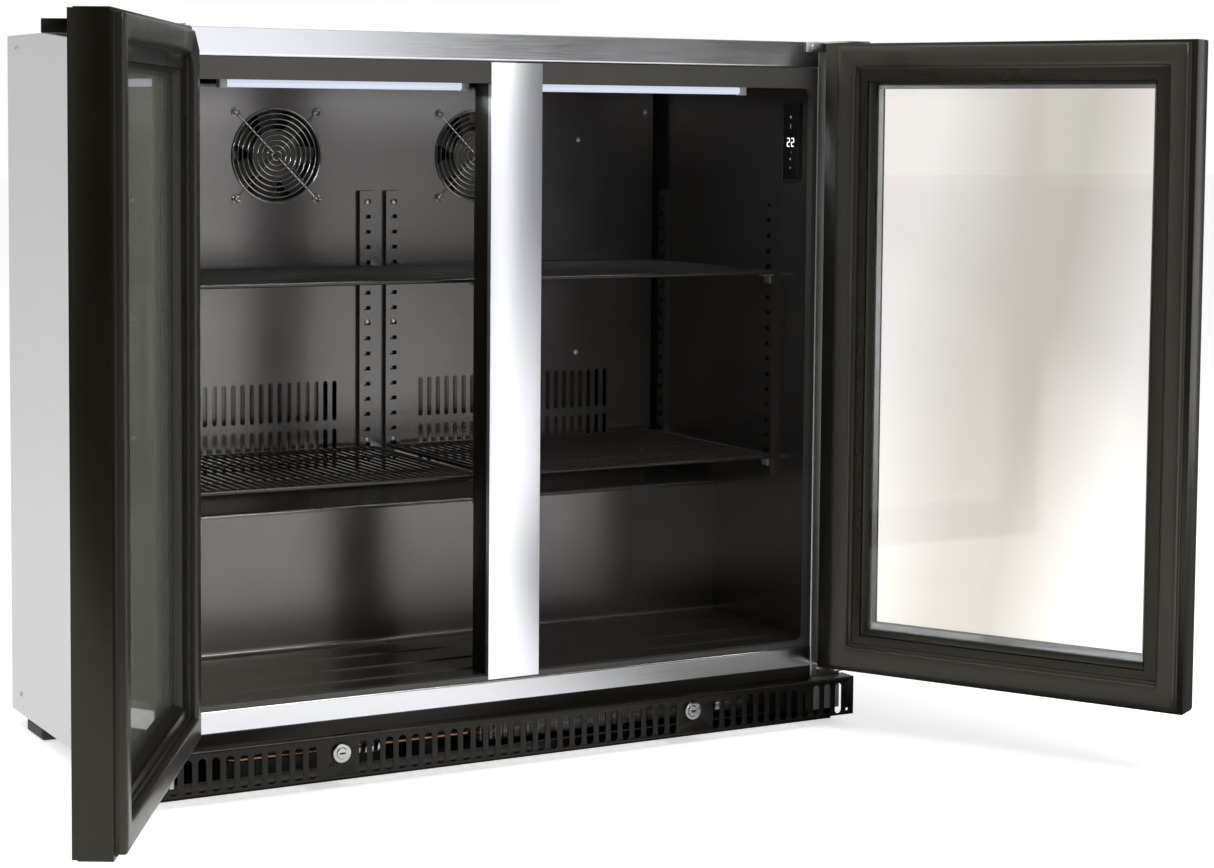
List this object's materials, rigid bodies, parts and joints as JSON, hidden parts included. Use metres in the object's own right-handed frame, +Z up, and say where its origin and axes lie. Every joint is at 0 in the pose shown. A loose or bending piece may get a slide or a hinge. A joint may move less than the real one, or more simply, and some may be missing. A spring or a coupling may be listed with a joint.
{
  "type": "under counter fridge",
  "caption": "Free-standing under counter bottle fridge with hinged glass doors, wire shelves, fan cooling behind a louvred cover and a slotted kick plate with key locks.",
  "frame": {"origin": "on the floor, in the middle of the space that the fridge takes up with both doors standing open; the front steel faces lie 18.7 mm in front of it", "axes": "+X to the right seen from the front, +Y to the back, +Z up"},
  "size_m": [1.3228, 0.8786, 0.8235],
  "materials": {
    "brushed_stainless": "fine vertical brushing, satin",
    "galvanised_steel": "dull zinc",
    "charcoal_liner": "satin charcoal powder coat",
    "foam": "rigid foam",
    "grey_trim": "satin dark grey extrusion",
    "black_frame": "satin black",
    "black_post": "black",
    "grey_gasket": "soft dark grey",
    "clear_glass": "clear double glazing",
    "silver_spacer": "mill finish",
    "nylon": "white nylon",
    "black_plastic": "moulded black",
    "guard_wire": "black coated wire",
    "shelf_wire": "black coated wire",
    "aluminium_fins": "thin fins",
    "copper": "copper tube",
    "lamp": "white lit tube",
    "clear_plastic": "translucent",
    "display": "black gloss window",
    "black_gloss": "gloss black",
    "chrome": "bright plated",
    "rubber": "matte",
    "compressor_black": "gloss black enamel"
  },
  "bodies": {
    "cabinet": {"back_panel": "galvanised_steel", "base_tray": "black_gloss", "breaker_trim": "grey_trim", "cabinet_screws": "chrome", "cable_gland": "black_plastic", "centre_post": "black_post", "compartment_panel": "galvanised_steel", "compressor": "compressor_black", "compressor_mounts": "rubber", "condensate_tray": "black_plastic", "condenser_coil": "aluminium_fins", "condenser_fan_shroud": "black_plastic", "controller_display": "display", "controller_housing": "black_plastic", "copper_pipes": "copper", "drip_tray": "aluminium_fins", "electrical_box": "black_plastic", "evaporator_coil": "aluminium_fins", "evaporator_cover": "charcoal_liner", "fan_frames": "black_plastic", "fan_guards": "guard_wire", "feet": "rubber", "foam_insulation": "foam", "front_bands": "brushed_stainless", "hinge_brackets": "brushed_stainless", "inner_liner": "charcoal_liner", "kick_plate": "black_gloss", "left_side_panel": "brushed_stainless", "light_holders": "clear_plastic", "light_tubes": "lamp", "lock_housings": "chrome", "mullion_cover": "brushed_stainless", "rear_grille": "galvanised_steel", "right_side_panel": "brushed_stainless", "shelf_clips": "galvanised_steel", "shelf_rails": "charcoal_liner", "top_panel": "brushed_stainless"},
    "left_door": {"left_door_bead": "black_frame", "left_door_bushes": "nylon", "left_door_frame": "black_frame", "left_door_gasket": "grey_gasket", "left_door_glass": "clear_glass", "left_door_handle": "black_frame", "left_door_spacer": "silver_spacer"},
    "right_door": {"right_door_bead": "black_frame", "right_door_bushes": "nylon", "right_door_frame": "black_frame", "right_door_gasket": "grey_gasket", "right_door_glass": "clear_glass", "right_door_handle": "black_frame", "right_door_spacer": "silver_spacer"},
    "left_fan": {"left_fan_rotor": "black_plastic"},
    "right_fan": {"right_fan_rotor": "black_plastic"},
    "condenser_fan": {"condenser_fan_rotor": "black_plastic"},
    "left_lock": {"left_lock_plug": "chrome"},
    "right_lock": {"right_lock_plug": "chrome"},
    "upper_left_rack": {"upper_left_shelf": "shelf_wire"},
    "upper_right_rack": {"upper_right_shelf": "shelf_wire"},
    "lower_left_rack": {"lower_left_shelf": "shelf_wire"},
    "lower_right_rack": {"lower_right_shelf": "shelf_wire"}
  },
  "joints": [
    {"name": "left_door_hinge", "type": "hinge", "parent": "cabinet", "child": "left_door", "pos_m": [-0.428, -0.0562, 0.45], "axis": [0, 0, -1], "range_deg": [-119.3, 5]},
    {"name": "left_fan_spin", "type": "hinge", "parent": "cabinet", "child": "left_fan", "pos_m": [-0.137, 0.3663, 0.683], "axis": [0, 1, 0], "continuous": true},
    {"name": "left_lock_turn", "type": "hinge", "parent": "cabinet", "child": "left_lock", "pos_m": [-0.2235, -0.0387, 0.04], "axis": [0, -1, 0], "range_deg": [0, 90]},
    {"name": "right_door_hinge", "type": "hinge", "parent": "cabinet", "child": "right_door", "pos_m": [0.428, -0.0562, 0.45], "axis": [0, 0, 1], "range_deg": [-119.3, 5]},
    {"name": "right_fan_spin", "type": "hinge", "parent": "cabinet", "child": "right_fan", "pos_m": [0.137, 0.3663, 0.683], "axis": [0, 1, 0], "continuous": true},
    {"name": "right_lock_turn", "type": "hinge", "parent": "cabinet", "child": "right_lock", "pos_m": [0.2235, -0.0387, 0.04], "axis": [0, -1, 0], "range_deg": [0, 90]},
    {"name": "condenser_fan_spin", "type": "hinge", "parent": "cabinet", "child": "condenser_fan", "pos_m": [0.11, 0.3863, 0.128], "axis": [0, 1, 0], "continuous": true},
    {"name": "upper_left_shelf_lift", "type": "slide", "parent": "cabinet", "child": "upper_left_rack", "axis": [0, 0, 1], "range_m": [0, 0.012]},
    {"name": "upper_right_shelf_lift", "type": "slide", "parent": "cabinet", "child": "upper_right_rack", "axis": [0, 0, 1], "range_m": [0, 0.012]},
    {"name": "lower_left_shelf_lift", "type": "slide", "parent": "cabinet", "child": "lower_left_rack", "axis": [0, 0, 1], "range_m": [0, 0.012]},
    {"name": "lower_right_shelf_lift", "type": "slide", "parent": "cabinet", "child": "lower_right_rack", "axis": [0, 0, 1], "range_m": [0, 0.012]}
  ]
}
